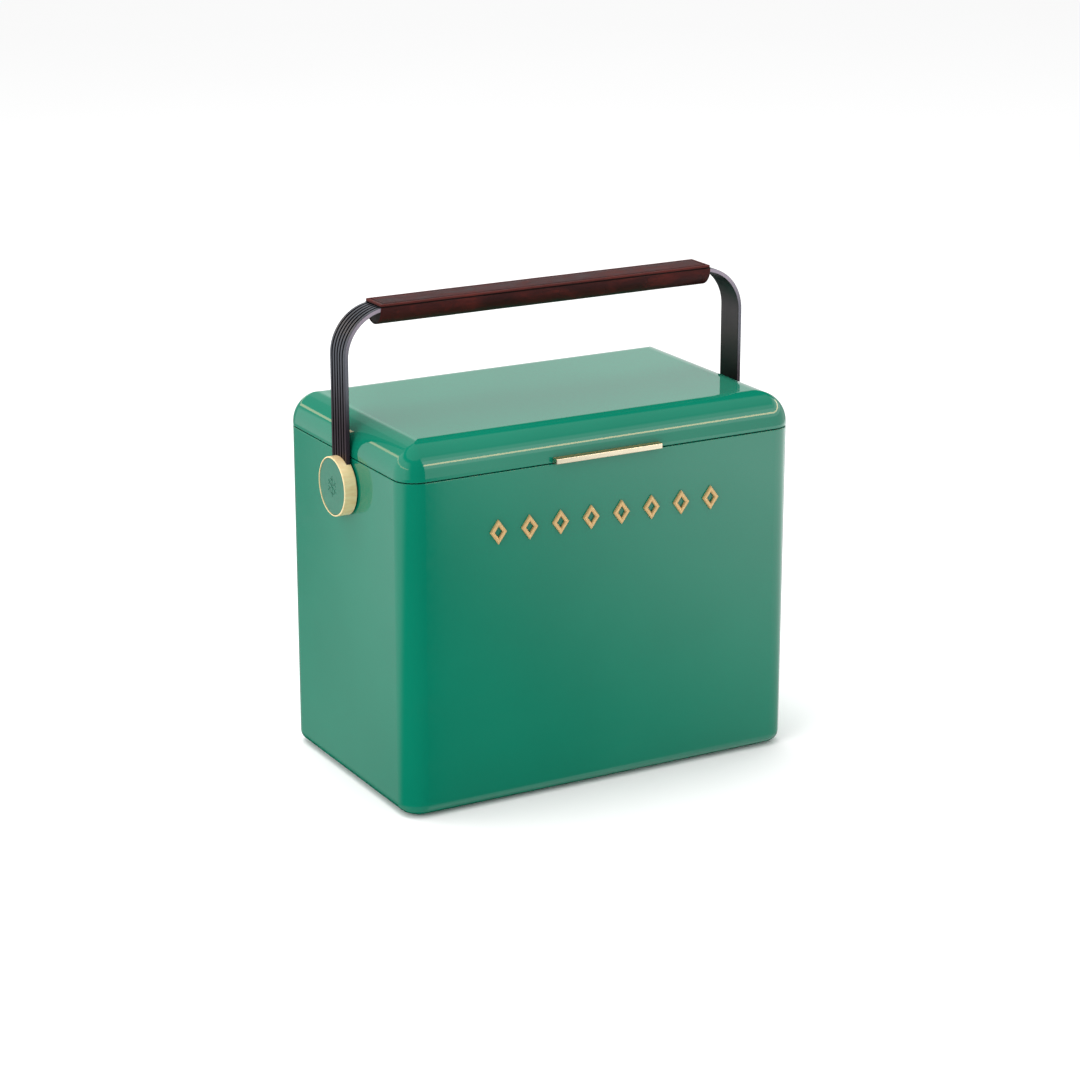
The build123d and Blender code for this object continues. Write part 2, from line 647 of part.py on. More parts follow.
def strap_route():
    """Centre line of the strap: up one arm, over and down the other."""
    mid_x = STRAP_OUT - STRAP_T / 2
    mid_z = STRAP_TOP - STRAP_T / 2
    route = Line((mid_x, PIVOT_Y, STRAP_LOW), (mid_x, PIVOT_Y, BEND_Z))
    route += ThreePointArc((mid_x, PIVOT_Y, BEND_Z),
                           (BEND_X + MID_R * sqrt(0.5), PIVOT_Y, BEND_Z + MID_R * sqrt(0.5)),
                           (BEND_X, PIVOT_Y, mid_z))
    route += Line((BEND_X, PIVOT_Y, mid_z), (-BEND_X, PIVOT_Y, mid_z))
    route += ThreePointArc((-BEND_X, PIVOT_Y, mid_z),
                           (-BEND_X - MID_R * sqrt(0.5), PIVOT_Y, BEND_Z + MID_R * sqrt(0.5)),
                           (-mid_x, PIVOT_Y, BEND_Z))
    return route + Line((-mid_x, PIVOT_Y, BEND_Z), (-mid_x, PIVOT_Y, STRAP_LOW))


def strap_solid(grow, grooved):
    """Flat strap along its route; its outer face may carry the long grooves."""
    section = Rectangle(STRAP_T + 2 * grow, STRAP_W + 2 * grow)
    if grooved:
        section = chamfer(section.vertices(), STRAP_EDGE)
        for index in range(GROOVES):
            across = (index - (GROOVES - 1) / 2) * GROOVE_PITCH
            section -= Pos(STRAP_T / 2, across) * Ellipse(GROOVE_D, GROOVE_W / 2)
    start = Plane(origin=(STRAP_OUT - STRAP_T / 2, PIVOT_Y, STRAP_LOW), x_dir=(1, 0, 0), z_dir=(0, 0, 1))
    return sweep(start * section, path=strap_route())


def grip_screw(x, grow=0.0):
    """Screw down through the strap into the grip's core."""
    return countersunk((x, PIVOT_Y, STRAP_TOP - GROOVE_D), (0, 0, -1), GRIP_SCREW_L, GRIP_SCREW_R, grow)


def handle_bar():
    """Grooved U-shaped strap with a bolt hole at the foot of each arm."""
    bar = strap_solid(0, True)
    for side in (-1, 1):
        inside = at_pivot(side * (STRAP_OUT - 2 * STRAP_T))
        bar -= rod(BOLT_R + RUNNING, inside, at_pivot(side * (STRAP_OUT + CUT)))
    for x in GRIP_SCREW_X:
        head = (x, PIVOT_Y, STRAP_TOP - GROOVE_D)
        bar -= grip_screw(x, GAP)
        bar -= rod(SCREW_HEAD_RATIO * GRIP_SCREW_R + GAP, head, (x, PIVOT_Y, STRAP_TOP + CUT))
    return bar


def half_round(radius, length):
    """Half-round bar along X under the strap, with its upper side filled to the strap's top."""
    place = Plane(origin=(-length / 2, PIVOT_Y, GRIP_Z), x_dir=(0, 1, 0), z_dir=(1, 0, 0))
    rise = STRAP_TOP - GRIP_Z
    section = Circle(radius) & Pos(0, -radius / 2) * Rectangle(2 * radius, radius)
    section += Pos(0, rise / 2) * Rectangle(2 * radius, rise)
    return extrude(place * section, length)


def grip_core():
    """Stiff core that fills the grip below the strap."""
    radius = GRIP_R - GRIP_LEATHER_T - TOUCH
    core = half_round(radius, GRIP_L - 2 * GRIP_END_T - 2 * GAP)
    under = STRAP_TOP - STRAP_T - GAP
    core -= block((-WIDTH, WIDTH), (-DEPTH, DEPTH), (under, STRAP_TOP + CUT))
    core -= strap_solid(GAP, False)
    for x in GRIP_SCREW_X:
        core -= grip_screw(x, GAP)
    return core


def grip_wrap():
    """Leather round the core and up the strap's edges."""
    wrap = half_round(GRIP_R, GRIP_L) - half_round(GRIP_R - GRIP_LEATHER_T, GRIP_L - 2 * GRIP_END_T)
    half = STRAP_W / 2 + GAP
    under = STRAP_TOP - STRAP_T - GAP
    wrap -= block((-WIDTH, WIDTH), (PIVOT_Y - half, PIVOT_Y + half), (under, STRAP_TOP + CUT))
    return wrap - strap_solid(GAP, False)


def grip_strip():
    """Leather strip along the top of the grip."""
    half_l = GRIP_L / 2
    y_range = (PIVOT_Y - GRIP_R, PIVOT_Y + GRIP_R)
    strip = block((-half_l, half_l), y_range, (STRAP_TOP, STRAP_TOP + GRIP_STRIP_T))
    strip = fillet(strip.edges().filter_by(Axis.Z), STRIP_CORNER_R)
    return fillet(strip.edges().group_by(Axis.Z)[-1], STRIP_EDGE_R)


def hub_cap():
    """Round brass cap: a skirt round the arm's foot, a web over it and a lip for the disc."""
    web_face = STRAP_OUT + HUB_PLATE
    seat = HUB_FACE - INSERT_SUNK - INSERT_T
    cap = rod(HUB_R, at_pivot(HUB_BACK), at_pivot(HUB_FACE))
    cap = chamfer(cap.edges().group_by(Axis.X)[0], HUB_EDGE)
    cap = chamfer(cap.edges().group_by(Axis.X)[-1], HUB_EDGE)
    cap -= rod(HUB_R - HUB_SKIRT_T, at_pivot(HUB_BACK - CUT), at_pivot(STRAP_OUT))
    cap -= rod(HUB_SEAT_R, at_pivot(web_face), at_pivot(HUB_FACE + CUT))
    cap -= rod(HUB_R - HUB_LIP_T, at_pivot(seat), at_pivot(HUB_FACE + CUT))
    half = STRAP_W / 2 + GAP
    z_range = (PIVOT_Z, PIVOT_Z + HUB_R + CUT)
    cap -= block((HUB_BACK - CUT, STRAP_OUT), (PIVOT_Y - half, PIVOT_Y + half), z_range)
    return cap - rod(BOLT_R + RUNNING, at_pivot(STRAP_OUT - CUT), at_pivot(web_face + CUT))


def snow_crystal():
    """Six plain arms with one pair of short barbs each."""
    arm = Pos(0, CRYSTAL_ARM / 2) * Rectangle(CRYSTAL_ARM_W, CRYSTAL_ARM)
    barb = Pos(0, CRYSTAL_BARB / 2) * Rectangle(CRYSTAL_BARB_W, CRYSTAL_BARB)
    for lean in (-60, 60):
        arm += Pos(0, CRYSTAL_BARB_AT) * Rot(0, 0, lean) * barb
    figure = arm
    for turn in range(1, 6):
        figure += Rot(0, 0, 60 * turn) * arm
    return figure


def hub_insert():
    """Painted disc in the hub with a shallow engraved snow crystal."""
    back = HUB_FACE - INSERT_SUNK - INSERT_T
    front = back + INSERT_T
    disc = rod(HUB_R - HUB_LIP_T - GAP, at_pivot(back), at_pivot(front))
    disc = chamfer(disc.edges().group_by(Axis.X)[-1], INSERT_EDGE)
    disc -= rod(HEAD_POCKET_R, at_pivot(back - CUT), at_pivot(back + HEAD_POCKET_D))
    face = Plane(origin=at_pivot(front), x_dir=(0, 1, 0), z_dir=(1, 0, 0))
    return disc - extrude(face * snow_crystal(), -EMBLEM_DEPTH)


NODES["handle_bar"] = handle_bar()
NODES["grip_core"] = grip_core()
NODES["grip_wrap"] = grip_wrap()
NODES["grip_strip"] = grip_strip()
NODES["grip_screws"] = group(*[grip_screw(x) for x in GRIP_SCREW_X])
for side, solid in both_sides(hub_cap()).items():
    NODES["hub_cap_" + side] = solid
for side, solid in both_sides(hub_insert()).items():
    NODES["hub_insert_" + side] = solid

# ---------------------------------------------------------------- one file per node
os.makedirs("parts", exist_ok=True)
for name, shape in NODES.items():
    export_step(shape, "parts/" + name + ".step")
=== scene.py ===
import math

import bmesh
import bpy
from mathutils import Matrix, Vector, noise


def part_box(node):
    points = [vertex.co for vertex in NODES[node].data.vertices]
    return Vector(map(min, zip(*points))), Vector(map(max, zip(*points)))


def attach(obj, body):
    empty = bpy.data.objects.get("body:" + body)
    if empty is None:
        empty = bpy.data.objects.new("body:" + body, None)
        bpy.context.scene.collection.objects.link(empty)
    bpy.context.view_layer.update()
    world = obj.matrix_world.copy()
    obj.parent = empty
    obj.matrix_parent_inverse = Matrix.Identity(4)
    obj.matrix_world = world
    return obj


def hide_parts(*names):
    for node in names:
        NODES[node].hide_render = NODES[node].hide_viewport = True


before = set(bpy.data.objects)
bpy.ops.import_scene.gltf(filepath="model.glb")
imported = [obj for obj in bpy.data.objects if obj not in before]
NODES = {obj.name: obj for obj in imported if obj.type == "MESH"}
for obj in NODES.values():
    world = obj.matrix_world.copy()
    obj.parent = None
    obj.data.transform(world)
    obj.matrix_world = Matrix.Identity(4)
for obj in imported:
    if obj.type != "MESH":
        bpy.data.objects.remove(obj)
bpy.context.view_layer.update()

MM = 0.001


# ---------------------------------------------------------------- shader graphs
def srgb(red, green, blue):
    """Linear RGBA of a colour given as 0 to 255 screen values."""
    def linear(value):
        value /= 255
        return value / 12.92 if value <= 0.04045 else ((value + 0.055) / 1.055) ** 2.4
    return (linear(red), linear(green), linear(blue), 1.0)


class Graph:
    """Short calls that add and join shader nodes. Coordinates are metres in the row frame."""

    def __init__(self, tree):
        self.tree = tree
        self.tree.nodes.clear()

    def add(self, kind, sockets=None, **settings):
        node = self.tree.nodes.new(kind)
        for key, value in settings.items():
            setattr(node, key, value)
        for key, value in (sockets or {}).items():
            self.put(node.inputs[key], value)
        return node

    def put(self, socket, value):
        if isinstance(value, bpy.types.NodeSocket):
            self.tree.links.new(value, socket)
        else:
            socket.default_value = value

    def math(self, operation, a, b=0.0):
        return self.add("ShaderNodeMath", {0: a, 1: b}, operation=operation).outputs[0]

    def remap(self, value, low, high, to_low=0.0, to_high=1.0, smooth=True):
        kind = "SMOOTHSTEP" if smooth else "LINEAR"
        sockets = {"Value": value, "From Min": low, "From Max": high, "To Min": to_low, "To Max": to_high}
        return self.add("ShaderNodeMapRange", sockets, interpolation_type=kind).outputs["Result"]

    def window(self, value, low, high, soft):
        """1 between low and high, fading to 0 over soft on both sides."""
        rise = self.remap(value, low - soft, low + soft)
        fall = self.remap(value, high - soft, high + soft, 1.0, 0.0)
        return self.math("MULTIPLY", rise, fall)

    def ramp(self, value, *stops):
        node = self.add("ShaderNodeValToRGB", {"Fac": value})
        elements = node.color_ramp.elements
        while len(elements) < len(stops):
            elements.new(0.5)
        for element, (position, colour) in zip(elements, stops):
            element.position = position
            element.color = colour
        return node.outputs["Color"]

    def mix(self, amount, a, b, blend="MIX"):
        node = self.add("ShaderNodeMix", data_type="RGBA", blend_type=blend)
        self.put(node.inputs["Factor"], amount)
        self.put(node.inputs[6], a)
        self.put(node.inputs[7], b)
        return node.outputs[2]


class Finish(Graph):
    """One procedural material: a principled shader fed with noise in object space."""

    def __init__(self, name, **shader):
        self.material = bpy.data.materials.new(name)
        self.material.use_nodes = True
        super().__init__(self.material.node_tree)
        self.place = self.add("ShaderNodeTexCoord").outputs["Object"]
        self.shader = self.add("ShaderNodeBsdfPrincipled")
        output = self.add("ShaderNodeOutputMaterial")
        self.tree.links.new(self.shader.outputs["BSDF"], output.inputs["Surface"])
        self.set(**shader)

    def set(self, **shader):
        """Principled inputs by name, with underscores for spaces."""
        for key, value in shader.items():
            socket = key.replace("_", " ").title().replace("Ior", "IOR")
            self.put(self.shader.inputs[socket], value)

    def height(self):
        """Height above the floor at rest, in metres."""
        return self.axes(self.place)[2]

    def axes(self, vector):
        """The three components of a vector."""
        split = self.add("ShaderNodeSeparateXYZ", {"Vector": vector})
        return [split.outputs[axis] for axis in "XYZ"]

    def facing(self):
        """Direction that the surface faces in the object's own space."""
        return self.axes(self.add("ShaderNodeTexCoord").outputs["Normal"])

    def stretched(self, stretch):
        if stretch is None:
            return self.place
        return self.add("ShaderNodeMapping", {"Vector": self.place, "Scale": stretch}).outputs["Vector"]

    def noise(self, scale, detail=2.0, rough=0.5, stretch=None, distortion=0.0):
        sockets = {
            "Vector": self.stretched(stretch),
            "Scale": scale,
            "Detail": detail,
            "Roughness": rough,
            "Distortion": distortion,
        }
        return self.add("ShaderNodeTexNoise", sockets).outputs["Fac"]

    def cells(self, scale, feature="F1", stretch=None):
        sockets = {"Vector": self.stretched(stretch), "Scale": scale}
        return self.add("ShaderNodeTexVoronoi", sockets, feature=feature).outputs["Distance"]

    def bump(self, height, distance, strength=1.0, below=None):
        """Bump of that many metres between height 0 and 1, on top of another bump if one is given."""
        sockets = {"Height": height, "Distance": distance, "Strength": strength}
        if below is not None:
            sockets["Normal"] = below
        return self.add("ShaderNodeBump", sockets).outputs["Normal"]


# ---------------------------------------------------------------- places that finishes need
SCUFF_H = 14 * MM                # light scuffs reach this far up the shell
STRAP_LOW, STRAP_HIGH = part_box("handle_bar")
STRAP_Y = (STRAP_LOW.y + STRAP_HIGH.y) / 2
STRAP_HALF_W = (STRAP_HIGH.y - STRAP_LOW.y) / 2
STRAP_SHADE_FADE_FROM = 290 * MM       # height where the painted shade on the strap's legs starts to fade into lighter cool grey
STRAP_SHADE_FADE_TO = 350 * MM
EDGE_HIGHLIGHT_FROM = 345 * MM       # height where the painted highlight on the cut edges starts to grow lighter, round the bend
EDGE_HIGHLIGHT_TO = 388 * MM
GROOVE_PITCH = 4.5 * MM
GROOVE_W = 2.1 * MM
GROOVES = 5
STRIP_LOW, STRIP_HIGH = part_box("grip_strip")
STRIP_HALF_Y = (STRIP_HIGH.y - STRIP_LOW.y) / 2
STRIP_HALF_X = STRIP_HIGH.x
STRIP_T = STRIP_HIGH.z - STRIP_LOW.z
CREASE_IN = 3.1 * MM             # pressed line's distance from the strip's outline
CREASE_W = 0.75 * MM
JOINT_SHADE = 0.35 * MM           # painted shade: the joint of wrap and strip is painted dark this far to each side
JOINT_SHADE_FADE = 0.8 * MM


# ---------------------------------------------------------------- finishes
def green_paint():
    """High-gloss green under clear lacquer, with faint orange peel and wiping marks."""
    f = Finish("gloss_green", coat_weight=1.0, coat_ior=1.5, specular_ior_level=0.0)
    cloud = f.noise(7.0, 2.0)
    colour = f.ramp(cloud, (0.3, srgb(6, 107, 84)), (0.7, srgb(9, 113, 89)))
    speckle = f.noise(2600.0, 1.0)
    colour = f.mix(f.remap(speckle, 0.35, 0.75, 0.0, 0.1), colour, srgb(16, 134, 106))
    scuff_band = f.remap(f.height(), 2 * MM, SCUFF_H, 0.25, 0.0)
    scuffs = f.remap(f.noise(90.0, 6.0, 0.7, stretch=(1.0, 1.0, 4.0)), 0.52, 0.66)
    colour = f.mix(f.math("MULTIPLY", scuffs, scuff_band), colour, srgb(70, 120, 100))
    wipes = f.noise(14.0, 5.0, 0.6, stretch=(1.0, 1.0, 3.0), distortion=0.8)
    f.set(base_color=colour, roughness=0.4, coat_roughness=f.remap(wipes, 0.35, 0.75, 0.03, 0.075))
    peel = f.bump(f.noise(210.0, 2.0), 0.02 * MM, 0.25)
    f.put(f.shader.inputs["Coat Normal"], peel)
    f.set(normal=f.bump(f.noise(700.0, 2.0), 0.01 * MM, 0.3))
    return f.material


def insert_paint():
    """Satin green disc paint with a fine powder texture."""
    f = Finish("satin_green", coat_weight=0.55, coat_roughness=0.22, specular_ior_level=0.35)
    colour = f.ramp(f.noise(160.0, 4.0), (0.3, srgb(30, 106, 84)), (0.72, srgb(37, 114, 91)))
    f.set(base_color=colour, roughness=f.remap(f.noise(320.0, 3.0), 0.3, 0.7, 0.34, 0.46))
    f.set(normal=f.bump(f.noise(1500.0, 2.0), 0.02 * MM, 0.5))
    return f.material


def brass(name, grain, metallic=0.45, rough=0.34, deep=srgb(210, 172, 116), light=srgb(220, 184, 128),
          rough_spread=0.06, patina_share=0.22, relief=0.35, painted_reflection_top=False):
    """Satin lacquered brass. grain is the noise stretch: small along the brushing, large across it.

    The flag at the end paints the face that looks up olive: a painted reflection of the green lid.
    """
    f = Finish(name, metallic=metallic, specular_ior_level=0.5, coat_weight=0.2, coat_roughness=0.16)
    brushed = f.noise(1.0, 3.0, 0.6, stretch=grain)
    patina = f.noise(55.0, 4.0, 0.6)
    colour = f.ramp(brushed, (0.25, deep), (0.75, light))
    colour = f.mix(f.remap(patina, 0.5, 0.85, 0.0, patina_share), colour, deep)
    # painted reflection: the face that looks up is painted olive, for the green lid it mirrors
    if painted_reflection_top:
        colour = f.mix(f.remap(f.facing()[2], 0.6, 0.8), colour, srgb(112, 118, 52))
    f.set(base_color=colour)
    f.set(roughness=f.remap(brushed, 0.2, 0.8, rough - rough_spread, rough + rough_spread))
    f.set(normal=f.bump(brushed, 0.01 * MM, relief))
    return f.material


def anodised():
    """Dark satin anodised strap, drawn along its length, with painted shade low on the legs, in the grooves
    and on the inner face, and a painted highlight on the cut edges.
    """
    f = Finish("graphite_anodised", metallic=0.8, specular_ior_level=0.5)
    drawn = f.noise(1.0, 3.0, 0.65, stretch=(260.0, 2400.0, 22.0))
    mottle = f.noise(38.0, 3.0)
    x, y, z = f.axes(f.place)
    face_x, face_y, face_z = f.facing()
    # painted shade: the strap is painted dark and warm low on the legs and turns lighter cool grey higher
    # up
    high = f.remap(z, STRAP_SHADE_FADE_FROM, STRAP_SHADE_FADE_TO)
    painted_lit_grey = f.ramp(drawn, (0.3, srgb(82, 86, 94)), (0.75, srgb(102, 107, 116)))
    warm = f.ramp(drawn, (0.3, srgb(42, 29, 40)), (0.75, srgb(58, 43, 55)))
    colour = f.mix(high, warm, painted_lit_grey)
    colour = f.mix(f.remap(mottle, 0.45, 0.75, 0.0, 0.2), colour, srgb(66, 60, 70))

    outward = f.math("ADD", f.math("MULTIPLY", f.math("SIGN", x), face_x), face_z)
    # painted shade: the inner face, which looks toward the box, is painted darker than the outer faces
    inner_face = f.remap(outward, -0.7, -0.3, 1.0, 0.0)
    inner = f.mix(high, srgb(38, 34, 35), srgb(66, 63, 65))
    colour = f.mix(inner_face, colour, inner)

    off_middle = f.math("ABSOLUTE", f.math("SUBTRACT", y, STRAP_Y))
    turns = f.math("DIVIDE", off_middle, GROOVE_PITCH)
    off_groove = f.math("ABSOLUTE", f.math("SUBTRACT", turns, f.math("ROUND", turns)))
    half = GROOVE_W / 2 / GROOVE_PITCH
    painted_groove_shade = f.remap(off_groove, half * 0.95, half * 1.2, 1.0, 0.0)
    last = GROOVE_PITCH * (GROOVES - 1) / 2 + GROOVE_W
    painted_groove_shade = f.math("MULTIPLY", painted_groove_shade, f.remap(off_middle, last, last + 0.1 * MM, 1.0, 0.0))
    painted_groove_shade = f.math("MULTIPLY", painted_groove_shade, f.remap(outward, 0.0, 0.3))
    # painted shade: the grooves in the outer face are painted near black
    colour = f.mix(f.math("MULTIPLY", painted_groove_shade, 0.95), colour, srgb(10, 8, 10))

    # painted highlight: the cut edges are painted lighter where the strap bends over, above the painted
    # shade of the legs
    cut_edge = f.remap(f.math("ABSOLUTE", face_y), 0.75, 0.95)
    near_side = f.remap(off_middle, STRAP_HALF_W - 0.8 * MM, STRAP_HALF_W - 0.2 * MM)
    on_edge = f.math("MULTIPLY", cut_edge, near_side)
    bend = f.remap(z, EDGE_HIGHLIGHT_FROM, EDGE_HIGHLIGHT_TO)
    painted_edge_highlight = f.mix(bend, srgb(104, 104, 114), srgb(158, 146, 160))
    colour = f.mix(f.math("MULTIPLY", on_edge, high), colour, painted_edge_highlight)
    f.set(base_color=colour, roughness=f.remap(drawn, 0.25, 0.75, 0.3, 0.46))
    f.set(metallic=f.remap(on_edge, 0.0, 1.0, 0.8, 0.35))
    f.set(normal=f.bump(drawn, 0.012 * MM, 0.4))
    return f.material


def leather(name, dark, mid, light, streak=0.5, sheen_level=0.16, sewn=False):
    """Waxed leather: pore grain, fine creases, mottled pull-up colour, painted shade at the joint of wrap
    and strip.

    sewn adds the strip's dark border line and a painted highlight on the band outside it.
    """
    f = Finish(name, specular_ior_level=sheen_level, coat_weight=sheen_level * 0.3, coat_roughness=0.35)
    mottle = f.noise(60.0, 5.0, 0.62, stretch=(0.55, 1.0, 1.0), distortion=0.5)
    colour = f.ramp(mottle, (0.28, dark), (0.52, mid), (0.78, light))
    lines = f.noise(1.0, 4.0, 0.65, stretch=(34.0, 1500.0, 1500.0))
    colour = f.mix(f.remap(lines, 0.45, 0.7, 0.0, streak), colour, dark)
    pores = f.cells(1150.0)
    creases = f.cells(260.0, "DISTANCE_TO_EDGE", stretch=(0.45, 1.0, 1.0))
    crease_line = f.remap(creases, 0.0, 0.09, 1.0, 0.0)
    broken = f.math("MULTIPLY", crease_line, f.remap(f.noise(70.0, 3.0), 0.48, 0.62))
    colour = f.mix(f.math("MULTIPLY", broken, 0.55), colour, dark)
    pull_up = f.remap(f.noise(150.0, 5.0, 0.7), 0.6, 0.74, 0.0, 0.4)
    colour = f.mix(pull_up, colour, light)
    x, y, z = f.axes(f.place)
    off_joint = f.math("ABSOLUTE", f.math("SUBTRACT", z, STRIP_LOW.z))
    if sewn:
        from_side = f.math("SUBTRACT", STRIP_HALF_Y, f.math("ABSOLUTE", f.math("SUBTRACT", y, STRAP_Y)))
        from_end = f.math("SUBTRACT", STRIP_HALF_X, f.math("ABSOLUTE", x))
        inward = f.math("MINIMUM", from_side, from_end)
        # painted highlight: the band outside the pressed line, out to the rolled edge, is painted lighter
        border = f.remap(inward, CREASE_IN - 1.4 * CREASE_W, CREASE_IN - 0.4 * CREASE_W, 0.4, 0.0)
        colour = f.mix(border, colour, light)
        line = f.window(inward, CREASE_IN - 0.55 * CREASE_W, CREASE_IN + 0.9 * CREASE_W, 0.3 * MM)
        colour = f.mix(f.math("MULTIPLY", line, 0.9), colour, dark)
    # painted shade: the joint of wrap and strip is painted near black
    colour = f.mix(f.remap(off_joint, JOINT_SHADE, JOINT_SHADE_FADE, 0.9, 0.0), colour, srgb(10, 5, 5))
    f.set(base_color=colour, roughness=f.remap(mottle, 0.3, 0.7, 0.42, 0.6))
    grain = f.bump(f.remap(pores, 0.0, 0.6), 0.05 * MM, 0.55)
    fibres = f.bump(lines, 0.04 * MM, 0.5, below=grain)
    f.set(normal=f.bump(broken, -0.12 * MM, 0.8, below=fibres))
    return f.material


def moulded(name, base, tint, rough, grain=900.0, depth=0.03):
    """Moulded plastic or rubber with a spark-eroded texture and slight colour drift."""
    f = Finish(name, specular_ior_level=0.45)
    colour = f.ramp(f.noise(24.0, 3.0), (0.3, base), (0.72, tint))
    specks = f.remap(f.noise(1400.0, 2.0), 0.62, 0.75, 0.0, 0.3)
    f.set(base_color=f.mix(specks, colour, base))
    f.set(roughness=f.remap(f.noise(45.0, 4.0), 0.3, 0.7, rough - 0.06, rough + 0.08))
    f.set(normal=f.bump(f.noise(grain, 3.0), depth * MM, 0.6))
    return f.material


def rigid_foam():
    """Cream closed-cell foam with visible cells."""
    f = Finish("rigid_foam", specular_ior_level=0.2, roughness=0.9)
    cells = f.cells(620.0)
    colour = f.ramp(f.noise(30.0, 4.0), (0.3, srgb(222, 206, 160)), (0.7, srgb(236, 224, 184)))
    f.set(base_color=f.mix(f.remap(cells, 0.45, 0.9, 0.0, 0.5), colour, srgb(178, 158, 108)))
    f.set(normal=f.bump(cells, 0.3 * MM, 0.8))
    return f.material


def steel():
    """Brushed stainless steel with handling marks."""
    f = Finish("brushed_steel", metallic=1.0)
    brushed = f.noise(1.0, 3.0, 0.6, stretch=(60.0, 60.0, 2600.0))
    colour = f.ramp(brushed, (0.3, srgb(172, 174, 178)), (0.7, srgb(206, 207, 210)))
    marks = f.remap(f.noise(80.0, 5.0, 0.7), 0.55, 0.75, 0.0, 0.3)
    f.set(base_color=f.mix(marks, colour, srgb(142, 142, 144)))
    f.set(roughness=f.remap(brushed, 0.2, 0.8, 0.22, 0.38), normal=f.bump(brushed, 0.01 * MM, 0.5))
    return f.material


def pale_floor():
    """Matt pale studio floor."""
    f = Finish("pale_floor", specular_ior_level=0.0, roughness=1.0)
    f.set(base_color=f.ramp(f.noise(0.7, 2.0), (0.35, srgb(247, 247, 247)), (0.65, srgb(248, 248, 248))))
    return f.material


ALONG_X = (40.0, 2600.0, 2600.0)         # noise per metre on each axis: fine lines along X
ACROSS_THE_RIM = (70.0, 330.0, 330.0)    # broad bands across a hub's rim

PAINT = green_paint()
INSERT = insert_paint()
HUB_BRASS = brass("hub_brass", ACROSS_THE_RIM, 0.3, 0.38, srgb(240, 204, 144), srgb(255, 236, 188),
                  rough_spread=0.02, patina_share=0.05, relief=0.02)
HINGE_BRASS = brass("hinge_brass", ALONG_X, 0.9, 0.3, srgb(198, 152, 86), srgb(222, 182, 118))
BAR_BRASS = brass("bar_brass", ALONG_X)
PULL_BRASS = brass("pull_brass", ALONG_X, 0.95, 0.14, srgb(208, 198, 172), srgb(216, 206, 182),
                   painted_reflection_top=True)
STEEL = steel()
LINER = moulded("liner_plastic", srgb(222, 224, 220), srgb(232, 233, 229), rough=0.42)
COLLAR = moulded("rim_plastic", srgb(44, 50, 48), srgb(56, 62, 60), rough=0.5)
FOAM = rigid_foam()
SILICONE = moulded("silicone", srgb(34, 36, 36), srgb(46, 49, 48), rough=0.55, grain=500.0)
RUBBER = moulded("foot_rubber", srgb(26, 26, 26), srgb(40, 39, 38), rough=0.72, grain=1100.0, depth=0.06)
NYLON = moulded("nylon", srgb(46, 46, 47), srgb(60, 60, 61), rough=0.4)
CORE = moulded("grip_core_plastic", srgb(40, 28, 25), srgb(54, 38, 34), rough=0.55)
STRAP = anodised()

CAD_FINISHES = {
    PAINT: ["body_shell", "lid_shell"],
    INSERT: ["hub_insert_left", "hub_insert_right"],
    HUB_BRASS: ["hub_cap_left", "hub_cap_right"],
    BAR_BRASS: ["front_marks"],
    HINGE_BRASS: [
        "hinge_body_leaf_left", "hinge_body_leaf_right", "hinge_lid_leaf_left", "hinge_lid_leaf_right",
        "hinge_body_screws", "hinge_lid_screws",
    ],
    PULL_BRASS: ["pull_bar"],
    STEEL: [
        "strike_discs", "lid_magnets", "foot_screws", "hinge_pin_left", "hinge_pin_right",
        "hinge_backing_plates", "pivot_bolt_left", "pivot_bolt_right", "pivot_plate_left",
        "pivot_plate_right", "pivot_nuts", "friction_washers", "pull_bar_screws", "grip_screws",
    ],
    LINER: ["body_liner", "lid_liner"],
    COLLAR: ["rim_collar"],
    FOAM: [
        "foam_floor", "foam_front", "foam_rear", "foam_left", "foam_right", "lid_foam", "plug_foam",
    ],
    SILICONE: ["lid_gasket"],
    RUBBER: ["rubber_feet"],
    NYLON: ["thrust_washers"],
    CORE: ["grip_core"],
    STRAP: ["handle_bar"],
}
for material, names in CAD_FINISHES.items():
    for name in names:
        NODES[name].data.materials.clear()
        NODES[name].data.materials.append(material)


# ---------------------------------------------------------------- leather grip
LEATHER = 1.1 * MM               # thickness of the wrap
FOLD_R = 0.6 * MM                # softened outer edges of the wrap's ends
WRAP_STATIONS = 240
WRAP_ARC = 60                    # steps round the half-round underside
STRIP_CORNER_R = 2.0 * MM
STRIP_EDGE_R = 0.9 * MM
VEE = 0.55 * MM                  # groove where the wrap meets the strip: half height and depth
CREASE_DEPTH = 0.5 * MM
END_CLEAR = 0.03 * MM            # between a grip end and the inside of the wrap
END_IN = 0.35 * MM               # a grip end's face lies this far inside the wrap's end
END_T = 1.5 * MM
END_DOME = 0.16 * MM
STITCH_PITCH = 3.4 * MM
STITCH_L = 2.3 * MM
STITCH_R = 0.2 * MM

WRAP_LOW, WRAP_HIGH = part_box("grip_wrap")
GRIP_Y = (WRAP_LOW.y + WRAP_HIGH.y) / 2
GRIP_R = (WRAP_HIGH.y - WRAP_LOW.y) / 2
GRIP_HALF = WRAP_HIGH.x
ARC_Z = WRAP_LOW.z + GRIP_R      # centre of the half round
STRAP_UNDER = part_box("grip_core")[1].z


def finished(name, mesh, material, body, sharp_deg=40.0):
    """A smooth-shaded piece that rides on a body."""
    data = bpy.data.meshes.new(name)
    bmesh.ops.recalc_face_normals(mesh, faces=mesh.faces)
    mesh.to_mesh(data)
    mesh.free()
    data.shade_smooth()
    data.set_sharp_from_angle(angle=math.radians(sharp_deg))
    data.materials.append(material)
    piece = bpy.data.objects.new(name, data)
    bpy.context.scene.collection.objects.link(piece)
    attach(piece, body)
    return piece


